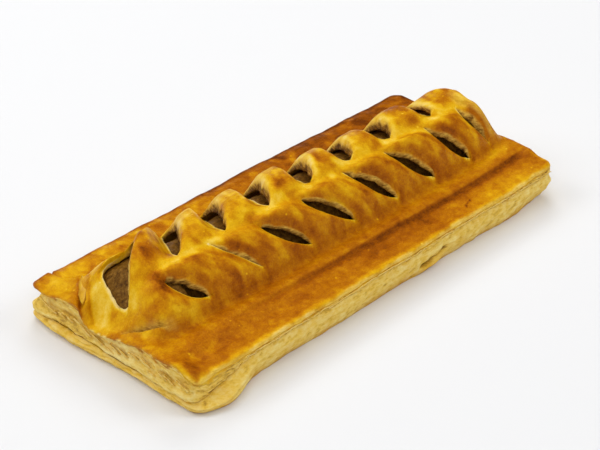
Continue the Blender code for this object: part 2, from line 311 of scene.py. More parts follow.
def mathNode(tree, operation, a, b=None, c=None, limit=False):
    node = addNode(tree, "ShaderNodeMath", operation=operation, use_clamp=limit)
    for socket, value in zip(node.inputs, (a, b, c)):
        if value is None:
            continue
        if isinstance(value, (int, float)):
            socket.default_value = value
        else:
            tree.links.new(value, socket)
    return node.outputs["Value"]


def mixColors(tree, factor, a, b):
    # of the node's sockets, inputs 0, 6 and 7 are the factor and the two colours, output 2 the mixed one
    node = addNode(tree, "ShaderNodeMix", data_type="RGBA")
    for index, source in ((0, factor), (6, a), (7, b)):
        tree.links.new(source, node.inputs[index])
    return node.outputs[2]


def addBump(tree, shader, height, strength, distance):
    bump = addNode(tree, "ShaderNodeBump")
    bump.inputs["Strength"].default_value = strength
    bump.inputs["Distance"].default_value = distance
    tree.links.new(height, bump.inputs["Height"])
    tree.links.new(bump.outputs["Normal"], shader.inputs["Normal"])


def attributeValue(tree, name):
    return addNode(tree, "ShaderNodeAttribute", attribute_name=name).outputs["Fac"]


crustLayers = ("bake", "cut", "leaf")
crustLook = {
    "bakeStops": [
        (0.00, (240, 212, 140)),
        (0.18, (238, 200, 72)),
        (0.36, (227, 176, 14)),
        (0.52, (208, 145, 2)),
        (0.68, (184, 111, 0)),
        (0.82, (158, 84, 0)),
        (1.00, (104, 48, 2)),
    ],
    "cutStops": [
        (0.00, (84, 52, 14)),
        (0.18, (134, 94, 32)),
        (0.38, (190, 146, 62)),
        (0.62, (238, 199, 84)),
        (1.00, (251, 229, 148)),
    ],
    # mottling from broad to fine: scale, detail, roughness, and how much it shifts the browning
    "mottles": [(170, 3, 0.55, 0.16), (620, 3, 0.6, 0.32), (1900, 2, 0.6, 0.24)],
    # painted highlights: tiny pale specks standing in for glints on the crust's blisters: scale, reach, the
    # share of places that have none, and their shift of the browning
    "glintSpecks": (330, 0.17, 0.72, -2.6),
    "crumb": 0.8,                   # how much crumb and thin leaves vary the cut faces
    "leaves": 0.7,
    "cutLevel": -0.74,
    "roughness": 0.36,
    "cutRoughness": 0.3,
    "specular": 0.2,
    "crumbRelief": 3.0,
    "bump": 0.5,
    "bumpDepth": 0.0004,
}


def makeCrustMaterial():
    # egg-washed crust: its colour follows how hard each spot was baked, with painted shade and painted
    # highlights mixed in; cut edges stay pale
    material, tree, shader = newMaterial("goldenCrust")
    coords = addNode(tree, "ShaderNodeTexCoord").outputs["Object"]
    level, cut, leaf = [attributeValue(tree, name) for name in crustLayers]
    mottles = []
    for scale, detail, rough, amount in crustLook["mottles"]:
        mottles.append(noiseNode(tree, coords, scale, detail, rough))
        level = mathNode(tree, "MULTIPLY_ADD", mottles[-1], amount, level)
        level = mathNode(tree, "SUBTRACT", level, amount / 2)
    _, fine, speck = mottles
    # pale specks scattered over the crust: painted glints
    scale, reach, bare, shift = crustLook["glintSpecks"]
    cells = addNode(tree, "ShaderNodeTexVoronoi", feature="F1")
    cells.inputs["Scale"].default_value = scale
    tree.links.new(coords, cells.inputs["Vector"])
    dot = mathNode(tree, "SUBTRACT", reach, cells.outputs["Distance"], limit=True)
    chosen = mathNode(tree, "GREATER_THAN", cells.outputs["Color"], bare)
    glint = mathNode(tree, "MULTIPLY", dot, chosen)
    level = mathNode(tree, "MULTIPLY_ADD", glint, shift, level)
    baked = colorRamp(tree, level, crustLook["bakeStops"])
    crumb = noiseNode(tree, coords, 760, 5, 0.7, stretch=(0.8, 0.8, 1.8))
    leaves = noiseNode(tree, coords, 900, 4, 0.65, stretch=(0.3, 0.3, 2.2), distortion=0.6)
    crumbLevel = mathNode(tree, "MULTIPLY_ADD", crumb, crustLook["crumb"], leaf)
    crumbLevel = mathNode(tree, "MULTIPLY_ADD", leaves, crustLook["leaves"], crumbLevel)
    crumbLevel = mathNode(tree, "ADD", crumbLevel, crustLook["cutLevel"])
    layered = colorRamp(tree, crumbLevel, crustLook["cutStops"])
    tree.links.new(mixColors(tree, cut, baked, layered), shader.inputs["Base Color"])
    roughness = mathNode(tree, "MULTIPLY_ADD", cut, crustLook["cutRoughness"], crustLook["roughness"])
    roughness = mathNode(tree, "MULTIPLY_ADD", fine, 0.2, roughness)
    tree.links.new(roughness, shader.inputs["Roughness"])
    shader.inputs["Specular IOR Level"].default_value = crustLook["specular"]
    relief = mathNode(tree, "MULTIPLY_ADD", fine, 1.2, speck)
    rough = mathNode(tree, "MULTIPLY", crumb, cut)
    relief = mathNode(tree, "MULTIPLY_ADD", rough, crustLook["crumbRelief"], relief)
    addBump(tree, shader, relief, crustLook["bump"], crustLook["bumpDepth"])
    return material


meatLook = {
    "stops": [(0.30, (58, 32, 8)), (0.50, (112, 74, 20)), (0.70, (150, 108, 44))],
    "grain": 700,
    "roughness": 0.5,
    "specular": 0.25,
    "bump": 0.6,
    "bumpDepth": 0.0006,
}


def makeMeatMaterial():
    material, tree, shader = newMaterial("sausageMeat")
    coords = addNode(tree, "ShaderNodeTexCoord").outputs["Object"]
    grain = noiseNode(tree, coords, meatLook["grain"], 4, 0.7)
    tree.links.new(colorRamp(tree, grain, meatLook["stops"]), shader.inputs["Base Color"])
    shader.inputs["Roughness"].default_value = meatLook["roughness"]
    shader.inputs["Specular IOR Level"].default_value = meatLook["specular"]
    addBump(tree, shader, grain, meatLook["bump"], meatLook["bumpDepth"])
    return material


# The upper sheet is a grid with a column along every slit, cut open, thickened and pulled into shape
gridLayers = ("column", "row", "side", "level")
sheet = {
    "leftColumns": 52,
    "stripColumns": 32,
    "rightColumns": 24,
    "rows": 150,
    "endCrowding": 1.25,
    "rowCrowding": 1.05,
    "openEndColumn": 21,
    "borderLayers": 14,
    "slitLayers": 5,
    "nearSpan": (-3.6, -15.2),      # Y of the strips, from the crest outwards
    "farSpan": (-0.8, 19.0),
    "nearPuff": 2.5,
    "farPuff": 2.9,
    "thinnest": 1.0,
    "edgeRound": 1.5,
    "rimSmoothing": 0.35,
    "tallest": (29.2, 1.8),         # above the first height the swelling eases off within the second
    "crease": ((-73.5, 27.0), (-86.6, 11.2)),
    "foldGap": 2.8,                 # from the crease to the fold beside it
    "frontSlit": [(-84.4, -2.6), (-81.4, -7.4), (-78.6, -11.6), (-75.6, -14.8), (-71.0, -16.0),
                  (-66.0, -16.2)],
    # height of the top along the left end, from the near corner to the far one
    "leftEdge": [(-37, 10.0), (-34.5, 13.0), (-30.6, 15.4), (-22, 14.4), (-13, 14.2), (-6, 13.2), (2.5, 10.9),
                 (8.6, 9.4), (10.4, 11.0), (12.4, 15.8), (20, 14.9), (28, 13.0), (37, 12.9)],
    # outline of the left end from its foot to its crust: a roll, a hollow and a lip
    "endWall": [(0, -0.2), (0.1, 0.5), (0.22, 0.5), (0.4, -0.9), (0.7, -1.1), (0.86, -0.6), (0.93, 0.2),
                (1, 0)],
}


def slitX(slit, y):
    (x0, y0), (x1, y1), *_ = slit
    return x0 + (x1 - x0) * clamp((y - y0) / (y1 - y0), -0.3, 1.0)


def crowdedRows(count, half, crowding):
    steps = [2 * j / count - 1 for j in range(count + 1)]
    return [half * math.sin(crowding * t) / math.sin(crowding) for t in steps]


def sheetKnots():
    left, strip = sheet["leftColumns"], sheet["stripColumns"]
    near = [left + strip * k for k in range(len(nearSlits))]
    far = [sheet["openEndColumn"]] + [left + strip // 2 + strip * k for k in range(len(farSlits) - 1)]
    return near, far, near[-1] + sheet["rightColumns"]


def columnPlaces(y, near, far, count):
    # X of every column of one row: the columns run along the slits
    half = roll["halfLength"]
    left, right, power = sheet["leftColumns"], sheet["rightColumns"], sheet["endCrowding"]
    spread = []
    for i in range(count + 1):
        if i < left:
            spread.append(left * (i / left) ** power)
        elif i > count - right:
            spread.append(count - right * ((count - i) / right) ** power)
        else:
            spread.append(i)
    openColumn = left * (far[0] / left) ** power
    nearX = [-half, *[slitX(slit, y) for slit in nearSlits], half]
    farX = [-half, *[slitX(slit, y) for slit in farSlits], half]
    nearX = np.interp(spread, [0, *near, count], nearX)
    farX = np.interp(spread, [0, openColumn, *far[1:], count], farX)
    even = np.array(crowdedRows(count, half, 0.9))
    relax = max(ease(-16, -32, y), ease(19, 31, y))
    return mix(mix(nearX, farX, ease(-3.6, -0.8, y)), even, relax)


def stripShare(column, side, knots, count):
    # which strip a column lies in, and how far across it
    bounds = [0, *knots, count]
    for k, (a, b) in enumerate(zip(bounds, bounds[1:])):
        if a <= column <= b:
            if column == b and side > 0 and k < len(bounds) - 2:
                continue
            return k, (column - a) / (b - a)
    return len(bounds) - 2, 1.0


def slitShare(slit, y):
    (_, y0), (_, y1), *_ = slit
    return clamp((y - y0) / (y1 - y0))


def slitOpening(slit, y):
    # how far a slit gapes here, as a share of its widest
    t = slitShare(slit, y)
    if t in (0.0, 1.0):
        return 0.0
    if slit is openEndSlit:
        return clamp(1.2 * t ** 0.75) * clamp((1 - t) * 14) ** 0.6
    blunt = 0.4 if slit[1][1] > 0 else 0.75
    return math.sin(math.pi * t ** (math.log(0.5) / math.log(slit[5]))) ** blunt


def acrossSlit(slit):
    (x0, y0), (x1, y1), *_ = slit
    return Vector((y1 - y0, x0 - x1)).normalized() * math.copysign(1, y1 - y0)


def openSlits(x, y, strip, share, slits):
    # pushes a point of a strip away from the slits at its two sides
    move = Vector((0, 0))
    if strip > 0:
        slit = slits[strip - 1]
        move += acrossSlit(slit) * slit[3] * slitOpening(slit, y) * (1 - share) ** 1.6
    if strip < len(slits):
        slit = slits[strip]
        isOpenEnd = slit is openEndSlit
        across = Vector((1, 0)) if isOpenEnd else acrossSlit(slit)
        move -= across * slit[2] * slitOpening(slit, y) * share ** (1.2 if isOpenEnd else 1.6)
    return x + move.x, y + move.y


def stripWindow(y, inner, outer):
    span = (y - inner) / (outer - inner)
    return ease(-0.15, 0.3, span) * ease(1.3, 0.85, span)


def arch(share, peak):
    # cross-section of a swollen strip, 0 at its two cut edges
    if not 0 < share < 1:
        return 0.0
    return math.sin(math.pi * share ** (math.log(0.5) / math.log(peak))) ** 0.7


def shingle(share, droop):
    # cross-section of a far strip: high along its left edge, drooping at its right one
    return ease(-0.25, 0.15, share) - 2.1 * ease(droop, 1.0, share)


def lineGap(x, y, start, end):
    # how far along a line a point lies, and how far to the line's left
    along = Vector(end) - Vector(start)
    offset = Vector((x, y)) - Vector(start)
    return offset.dot(along) / along.length_squared, along.cross(offset) / along.length


def pathGap(x, y, path):
    # how open a bent slit is at the nearest place along it, and how far to its left that is
    best = (0.0, 9.0)
    for k, (start, end) in enumerate(zip(path, path[1:])):
        t, s = lineGap(x, y, start, end)
        if -0.05 <= t <= 1.05 and abs(s) < abs(best[1]):
            share = (k + clamp(t)) / (len(path) - 1)
            best = (ease(0, 0.15, share) * ease(0.85, 0.4, share), s)
    return best


def collarFold(x, y):
    # how far a point lies from the bent fold beside the collar's crease, and how deep that is there
    t, s = lineGap(x, y, *sheet["crease"])
    gap = sheet["foldGap"]
    bent = s - gap - 0.7 * lumps(t * 9, 0, gap, 1.4, 3) - 2.2 * (t - 0.5) ** 2
    return bent, ease(-0.5, 0.0, t) * ease(1.15, 0.8, t)


def stripShape(x, y, strips):
    # height that the strips add, and the share of fullness they give the dome
    nearStrip, nearShare, farStrip, farShare = strips
    ends = domeEnds(x)
    nearWindow = stripWindow(y, *sheet["nearSpan"]) * ends
    farStart, farEnd = sheet["farSpan"]
    farWindow = stripWindow(y, farStart, mix(farEnd, 15.0, ease(-45, 30, x))) * ends
    nearArch, farArch = arch(nearShare, 0.42), arch(farShare, 0.5)
    uneven = 1 + 0.18 * math.sin(2.3 * nearStrip + 1) * nearWindow
    uneven += 0.15 * math.sin(1.9 * farStrip) * farWindow
    rolled = math.exp(-nearShare / 0.06) if 0 < nearStrip else 0
    rise = mix(0.8, 1.1, ease(-50, 40, x)) * sheet["nearPuff"] * nearWindow
    rise *= nearArch + 0.35 * (1 - nearShare) - 0.45 * nearShare ** 3
    rise -= 0.9 * nearWindow * rolled
    if nearStrip == len(nearSlits):
        rise *= 0.3
    if farStrip == len(farSlits):
        farRise = 0.55 * arch(farShare, 0.62)
    else:
        farRise = shingle(farShare, 0.32 if farStrip == 1 else 0.5)
    rise += sheet["farPuff"] * farWindow * farRise
    fuller = mix(0.34, 0.08, ease(-45, 35, x)) * farWindow * farArch
    if farStrip == 0:
        rim = 0.8 * ease(0.3, 0.7, farShare) - 1.6 * ease(0.8, 1, farShare)
        rise = mix(rise, rim, ease(-3, 2, y))
        fuller *= 0.3
    if farStrip == 1:
        rise += 2.2 * ease(0.6, 0.05, farShare) * ease(1, 7, y) * ease(19, 11, y)
    rise *= uneven
    loop = bell(x - 78.6 + 0.012 * (y + 2) ** 2, 2.6)
    rise += 0.9 * loop * ease(-15.5, -10, y) * ease(17, 9, y)
    rise += 1.0 * ease(73, 79, x) * ease(-15.5, -8, y) * ease(5, -2, y) * ends
    return rise, fuller


def sheetTop(x, y, strips):
    rise, fuller = stripShape(x, y, strips)
    top = borderTop(x, y) + domeHeight(x, y, fuller) - domeHeight(x, y) + rise
    top += 0.5 * ease(24, 33, y) * bell(x - 10, 45) - 0.5 * ease(32, 36, y)
    top -= 0.35 * ease(-15.0, -15.8, y) * ease(-21, -18, y) * domeEnds(x)
    top = mix(top, np.interp(y, *zip(*sheet["leftEdge"])), ease(-76, -85.8, x))
    t, s = lineGap(x, y, *sheet["crease"])
    if 0 < t < 1.2:
        top -= 1.9 * ease(0, 0.9, t) * bell(s, 0.9)
        top += 0.7 * ease(0, 0.6, t) * bell(s - 2.2, 1.4)
    bent, deep = collarFold(x, y)
    top -= 0.35 * deep * bell(bent, 0.45)
    along, s = pathGap(x, y, sheet["frontSlit"])
    top -= 2.1 * along * bell(s + 0.1, 0.75)
    top += 0.5 * along * bell(s - 1.7, 1.0) + 0.3 * along * bell(s + 1.5, 0.8)
    top += 0.35 * lumps(x, y, 0, 11, 1.7) + 0.2 * lumps(x, y, 0, 5, 5.2) + 0.09 * lumps(x, y, 0, 2.2, 6.1)
    top += 0.45 * lumps(x, y, 0, 3.6, 2.6) * ease(-68, -74, x) * ease(-14, -6, y)
    gap = edgeGap(x, y)
    if gap < sheet["edgeRound"]:
        share = 1 - max(gap, 0) / sheet["edgeRound"]
        depth = sheet["edgeRound"] * mix(0.75, 0.15, ease(*roll["leftEnd"], x))
        top -= depth * (1 - math.sqrt(max(0, 1 - share ** 2)))
    over = max(0.0, top - sheet["tallest"][0])
    return top - over + sheet["tallest"][1] * (1 - math.exp(-over / sheet["tallest"][1]))


# places where the crust is browner or paler than around them: x, y, half length, half width, turn, how much
tonePatches = [
    (-62, 9, 10, 3.4, 50, 0.24), (-70, -8, 5, 2.6, 30, 0.26), (-67, 2, 5, 2.4, 50, 0.2),
    (-50.5, 5, 5, 2.6, 45, 0.24), (-30.5, 6.5, 5.5, 2.4, 55, 0.22), (-8, 3.5, 6, 2.4, 30, 0.24),
    (13, 9, 5, 3, 60, 0.18), (34, 9, 5, 3.2, 60, 0.2), (54, 8, 6, 4, 60, 0.28), (71, 3, 5, 3, 20, 0.2),
    (75, 12, 5, 5, 0, 0.1), (-42, 12.5, 6, 2.6, 70, -0.16), (-23.5, 12, 6, 2.6, 70, -0.16),
    (-4, 12, 5, 2.6, 70, -0.14), (17, 5, 5, 2.6, 40, -0.1), (38, 3.5, 4, 2.2, 40, -0.12),
    (66.5, 5, 6, 1.6, 75, -0.14), (-82.5, 3, 4, 8, 0, -0.24), (-78, 14.5, 9, 4.4, 60, -0.2),
    (-80, 9, 4, 1.6, 70, -0.12), (-75, 19, 4, 1.6, 50, -0.12), (-68, 21, 6, 2.4, 10, -0.16),
    (-76, -8, 9, 2.4, -45, -0.14), (-70, -14.4, 8, 1.4, -10, -0.2), (-80, -29, 6, 6, 0, 0.12),
    (-62, -30, 12, 4, 0, 0.03), (-30, -29, 16, 4, 0, 0.02), (6, -29, 9, 3, 0, 0.13),
    (62, -31.5, 16, 3.2, 0, -0.12), (24, -29, 10, 3, 0, 0.1), (47, -18.5, 10, 2.4, 0, -0.12),
    (62, -20, 10, 2.4, 0, -0.1), (72, 31, 9, 2.6, 0, 0.12), (-19.7, 31.4, 3, 1.2, 40, -0.26),
    (-81.5, 4, 2.6, 3.6, 0, 0.1), (-73, -7, 4, 2, 30, 0.12), (68, -6, 4, 3, 50, 0.1),
    (7, -11, 3.6, 2, 0, -0.1), (-12.5, -1, 4, 1.6, 0, -0.16), (76, 3, 4, 3, 0, -0.1),
    (-76, 27, 9, 5, 0, -0.14), (-67, 30, 9, 3, 0, -0.03), (-83, 6, 3, 9, 0, -0.08),
    (62, -33.6, 14, 2.4, 0, -0.12), (-38, -17, 8, 1.8, 0, 0.14), (30, 31, 24, 2.4, 0, 0.05),
    (-66, 24, 9, 3, 10, -0.18), (-80, -25, 9, 5, 0, -0.08), (8, -9, 5, 3, 40, -0.1),
    (76, -19, 7, 2.6, 0, -0.24), (30, -19, 26, 3, 0, 0.02), (53, -17.5, 3, 1.4, 0, 0.16),
    (44.2, -31.8, 1, 0.4, 50, 0.4), (45.8, -31, 0.8, 0.35, 20, 0.4), (47.4, -30.6, 0.7, 0.35, 60, 0.35),
    (-46, -19, 22, 2.4, 0, 0.03), (-80, 22, 8, 2, 52, 0.1), (-83, 27, 4, 7, 0, -0.08),
    (-72, 32, 8, 3, 0, -0.06), (25.5, 30.5, 3.5, 2, 40, -0.2), (-62, 31, 12, 2.5, 5, -0.1),
    (-18, 29, 10, 1.6, 0, -0.12),
]


def patchTone(x, y):
    level = 0
    for middleX, middleY, length, width, turn, amount in tonePatches:
        c, s = math.cos(math.radians(turn)), math.sin(math.radians(turn))
        across, up = x - middleX, y - middleY
        reach = ((c * across + s * up) / length) ** 2 + ((c * up - s * across) / width) ** 2
        if reach < 6:
            level += amount * math.exp(-reach * (1 + 0.3 * lumps(x, y, 0, 3, 1.3)))
    return level


def borderBrowningAndShade(x, y, band, shade):
    level = (0.08 + 0.02 * ease(-60, 10, x)) * band
    level += 0.06 * ease(-22, -26, y) * ease(-60, -84, x)
    # darker along the groove: painted shade under the band's overhanging upper edge
    level += 0.22 * shade * mix(0.2, 1, ease(-60, 5, x)) * ease(*roll["grooveEnd"], x)
    gap = edgeGap(x, y)
    level -= 0.26 * ease(2.8, 0.3, gap + 0.8 * lumps(x, y, 0, 7, 3.3)) * ease(-25, -33, y)
    # a thin line along the strips' outer edge, darker in some places and paler in others: painted crease
    # shade and painted highlights
    line = bell(y + 15.3 + 0.4 * lumps(x, 0, 0, 9, 2), 0.4) * ease(-74, -66, x)
    level += 0.14 * line * lumps(x, 0, 0, 3.1, 5)
    level += 0.22 * ease(-50, 40, x) * ease(20, 25, y)
    level += 0.14 * ease(3.2, 0.8, gap) * ease(25, 33, y) * ease(-80, -50, x)
    return level + 0.16 * ease(1.6, 0.6, gap) * ease(30, 35, y)


def stripBrowningAndHighlights(x, y, strips):
    # strips are palest along the crest and along the cut edge on the high left side of each far strip, both
    # painted highlights where the light catches them, and darkest beside each slit's crest end
    _, nearShare, _, farShare = strips
    nearWindow = stripWindow(y, *sheet["nearSpan"]) * domeEnds(x)
    farWindow = stripWindow(y, *sheet["farSpan"]) * domeEnds(x)
    # paler along the crest: painted highlight where the dome's top catches the light
    crest = bell(y + 1.8 - 0.5 * lumps(x, 0, 0, 8, 1), 3.0)
    level = -0.26 * crest * (1 + 0.5 * lumps(x, y, 0, 7, 8.8)) * ease(-82, -76, x)
    streak = lumps((x * 0.84 - y * 0.54) * 0.3, (x * 0.54 + y * 0.84) * 1.3, 0, 2.4, 2.7)
    level += nearWindow * 0.16 * bell(nearShare - 0.05, 0.08) * ease(-3, -8, y)
    level += nearWindow * (0.07 * bell(nearShare - 0.5, 0.25) + 0.13 * streak)
    for (startX, startY), *_ in nearSlits[:-1]:
        reach = ((x - startX + 1.6) / 3.0) ** 2 + ((y - startY - 2.0) / 1.8) ** 2
        if reach < 6:
            level += 0.26 * math.exp(-reach)
    slant = lumps((x * 0.9 - y * 0.45) * 1.5, (x * 0.45 + y * 0.9) * 0.3, 0, 2.6, 6.2)
    level += farWindow * (0.22 * slant - 0.12) * ease(1, 5, y)
    # paler along each far strip's high left edge: painted highlight, the light caught on the tops
    return level - 0.26 * farWindow * bell(farShare - 0.02, 0.12) * ease(-60, -50, x)


def browningWithPaintedLightAt(x, y, strips, rimDistance, rimSide):
    # 0 is pale dough, 1 is dark brown crust, with painted shade and painted highlights mixed in
    band = ease(-15.2, -16.4, y) * ease(-84, -66, x)
    offset = y - grooveLine(x)
    # the groove's painted shade, also used to calm the noise there
    shade = ease(1.3, 0.5, offset) * ease(-3.5, -0.3, offset)
    level = 0.61 + patchTone(x, y) + borderBrowningAndShade(x, y, band, shade) + stripBrowningAndHighlights(x, y, strips)
    # darker along the crease and along the fold beside it: painted shade in those dips
    t, side = lineGap(x, y, *sheet["crease"])
    if -0.1 < t < 1.2:
        level += 0.30 * bell(side + 0.5, 0.6) * ease(-0.1, 0.2, t)
    bent, deep = collarFold(x, y)
    level += 0.22 * deep * bell(bent + 0.3, 0.6)
    calm = (1 - 0.8 * shade) * mix(1, 0.55, band)
    level += 0.12 * calm * ease(0.05, 0.4, lumps(x, y, 0, 6.5, 9.1))
    level -= 0.13 * calm * ease(0.1, 0.4, lumps(x, y, 0, 4.2, 3.7))
    level += 0.10 * calm * lumps(x, y, 0, 2.4, 2.2)
    # a thin pale line along the lower rim of each slit: partly paler, less baked cut edge, partly painted
    # highlight
    if rimSide < 0:
        level -= 0.6 * bell(rimDistance, 0.6)
    return clamp(level)


def tornTop(x, y, strips):
    # where the crust is torn on top: how much crumb shows there, and how pale that is, with painted shade
    # darkening the front slit's valley
    nearStrip, nearShare, _, _ = strips
    lastFace = ease(0.03, 0.12, nearShare) * ease(0.6, 0.3, nearShare)
    lastFace *= (nearStrip == len(nearSlits)) * ease(-15.5, -13, y) * ease(6, 0, y)
    along, beside = pathGap(x, y, sheet["frontSlit"])
    valley = along * math.exp(-((beside + 0.15) / 0.7) ** 4)
    bitten = edgeGap(x, y) + 1.4 * lumps(x, 0, 0, 9, 2.9) + 0.5 * lumps(x, y, 0, 3.2, 5.1)
    ragged = ease(1.0, 0.1, bitten) * ease(-32, -35, y)
    # the front slit's valley is painted dark: painted shade in the recess
    pale = mix(0.45 + 0.5 * lumps(x * 2, y * 0.5, 0, 2.2, 6), 0.22, valley)
    pale = mix(pale, 0.66 + 0.25 * lumps(x, y, 0, 4, 7.7), ragged)
    return max(0.4 * lastFace, valley, 0.75 * ragged), pale


def slitWall(x, y, height, level, side, slit, rowY):
    # the cut face of a slit: how far it leans along X, how much crumb shows, and how pale that is, darker
    # towards the underside as painted shade inside the slit
    farSide = ease(-2, 1, y)
    openEnd = ease(-58, -62, x) * farSide
    uneven = lumps(x, y, 0, 3.2, 4)
    crumb = ease(0.98, 0.5, level + 0.35 * uneven)
    # paler near the rim and darker down towards the underside: painted shade inside the slit
    pale = mix(0.14, 0.5, level ** 1.5) + mix(0.2, 0.1, farSide) * fibres(x + y, height, 2.0)
    pale += 0.24 * lumps(x, y, height, 1.6, 9)
    pale -= 0.14 * farSide * (1 - level) + 0.06 * (1 - farSide)
    lean = -side * 0.5 * lumps(x, y, height, 2.2, 5)
    if side > 0:
        early, late = 1.3, 1.3 if slit is openEndSlit else 0.45
        if y < 0:
            early, late = mix(0.9, 2.6, ease(0.6, 0.68, slit[5])), 1.3
        reach = slit[4] * (1 + 0.7 * uneven * (1 - openEnd)) * mix(early, late, slitShare(slit, rowY))
        lean -= reach * (1 - level) * min(1, 1.4 * slitOpening(slit, rowY))
    return lean, crumb, clamp(mix(pale, 0.55 + 0.3 * uneven, openEnd))


def borderWall(x, y, height, level):
    # the sheet's outer wall: how far it stands out, how much crumb shows, and how pale that is, with painted
    # highlights on the leaves' edges and strands and painted shade in the gaps, pits and hollows
    leftEnd = ease(*roll["leftEnd"], x)
    leaf = strata(x - y, height, mix(1.2, 2.1, leftEnd), 7.0)
    web = torn(x - y, height, 5.0)
    browned = mix(0.68, 0.88, leftEnd)
    edge = level + 0.3 * lumps(x, y, height, 3, 8) + 0.18 * lumps(x, y, height, 1.3, 2)
    crumb = ease(browned + 0.07, browned - 0.07, edge)
    shady = ease(0.0, 0.4, lumps(x * 0.5, y * 0.5, height * 1.4, 4.5, 2.3))
    shady *= 1 - 0.8 * bell(y + 9, 10)
    # paler on leaf edges and raised strands, darker in the gaps and pits between them and where the wall is
    # pushed into hollows: painted highlights and painted shade
    pale = mix(0.26, 0.58, leftEnd) + mix(0.35, 0.14, leftEnd) * leaf + mix(0.35, 0.24, leftEnd) * web
    pale += leftEnd * (0.22 * bell(y + 3, 10) - 0.18 * shady)
    fade = ease(1, 0.88, level)
    pit = ease(0.1, 0.5, lumps(x, y, 0, 5, 6.6))
    move = fade * (0.4 * (leaf - 0.6) + mix(0.2, 0.34, leftEnd) * (web - 0.4) - 0.5 * leftEnd * shady)
    move += leftEnd * np.interp(level, *zip(*sheet["endWall"]))
    move -= (1 - leftEnd) * (0.15 + 0.6 * pit) * ease(0.25, 0, level)
    below = ease(0.95, 0.75, level)
    move -= leftEnd * 0.2 * below * ease(9.5, 12, y) * ease(30, 24, y)
    move += leftEnd * 0.7 * ease(0.2, 0.7, level) * ease(10, 7, y) * ease(-16, -8, y)
    corner = ease(27, 33, y) * ease(-79, -84, x)
    move -= 2.2 * corner * bell(height - 9.4, 1.3)
    return move, crumb, pale


def cutGrid(rowPlaces, slitAt, count):
    # a flat grid, cut along the columns where the slits run
    rows = sheet["rows"]
    bm = bmesh.new()
    bmesh.ops.create_grid(bm, x_segments=count, y_segments=rows, size=1)
    column, row, side, level = [bm.verts.layers.float.new(name) for name in gridLayers]
    for vert in bm.verts:
        vert[column] = round((vert.co.x + 1) / 2 * count)
        vert[row] = round((vert.co.y + 1) / 2 * rows)
        vert[level] = 1
    cuts = []
    for edge in bm.edges:
        a, b = edge.verts
        if a[column] != b[column] or round(a[column]) not in slitAt:
            continue
        (_, y0), (_, y1), *_ = slitAt[round(a[column])]
        if all(min(y0, y1) < rowPlaces[round(v[row])] < max(y0, y1) for v in (a, b)):
            cuts.append(edge)
    bmesh.ops.split_edges(bm, edges=cuts)
    for vert in bm.verts:
        if vert.is_boundary and round(vert[column]) in slitAt:
            middleX = sum(f.calc_center_median().x for f in vert.link_faces) / len(vert.link_faces)
            if abs(middleX - vert.co.x) > 0.1 / count:
                vert[side] = math.copysign(1, middleX - vert.co.x)
    return bm


def thicken(bm):
    # top and underside are at level 1 and 0, with layers of points between them down every wall
    column, _, side, level = [bm.verts.layers.float[name] for name in gridLayers]
    made = bmesh.ops.extrude_face_region(bm, geom=bm.faces[:])
    for vert in madeVerts(made):
        vert[level] = 0
    walls = [e for e in bm.edges if e.verts[0][level] != e.verts[1][level]]
    outer = [e for e in walls if e.verts[0][side] == 0]
    inner = [e for e in walls if e.verts[0][side] != 0]
    bmesh.ops.subdivide_edges(bm, edges=outer, cuts=sheet["borderLayers"] - 1, use_grid_fill=True)
    bmesh.ops.subdivide_edges(bm, edges=inner, cuts=sheet["slitLayers"] - 1, use_grid_fill=True)
    leftWall = [e for e in bm.edges if e.verts[0][level] != e.verts[1][level] and e.verts[0][column] == 0]
    bmesh.ops.subdivide_edges(bm, edges=leftWall, cuts=1, use_grid_fill=True)


def simplifyUnderside(bm):
    # the underside is hidden, so it needs few faces
    level = bm.verts.layers.float["level"]
    hidden = {f for f in bm.faces if all(v[level] == 0 for v in f.verts)}
    inside = [v for v in bm.verts if v[level] == 0 and all(f in hidden for f in v.link_faces)]
    between = [e for e in bm.edges if all(f in hidden for f in e.link_faces)]
    bmesh.ops.dissolve_limit(bm, angle_limit=0.06, verts=inside, edges=between)


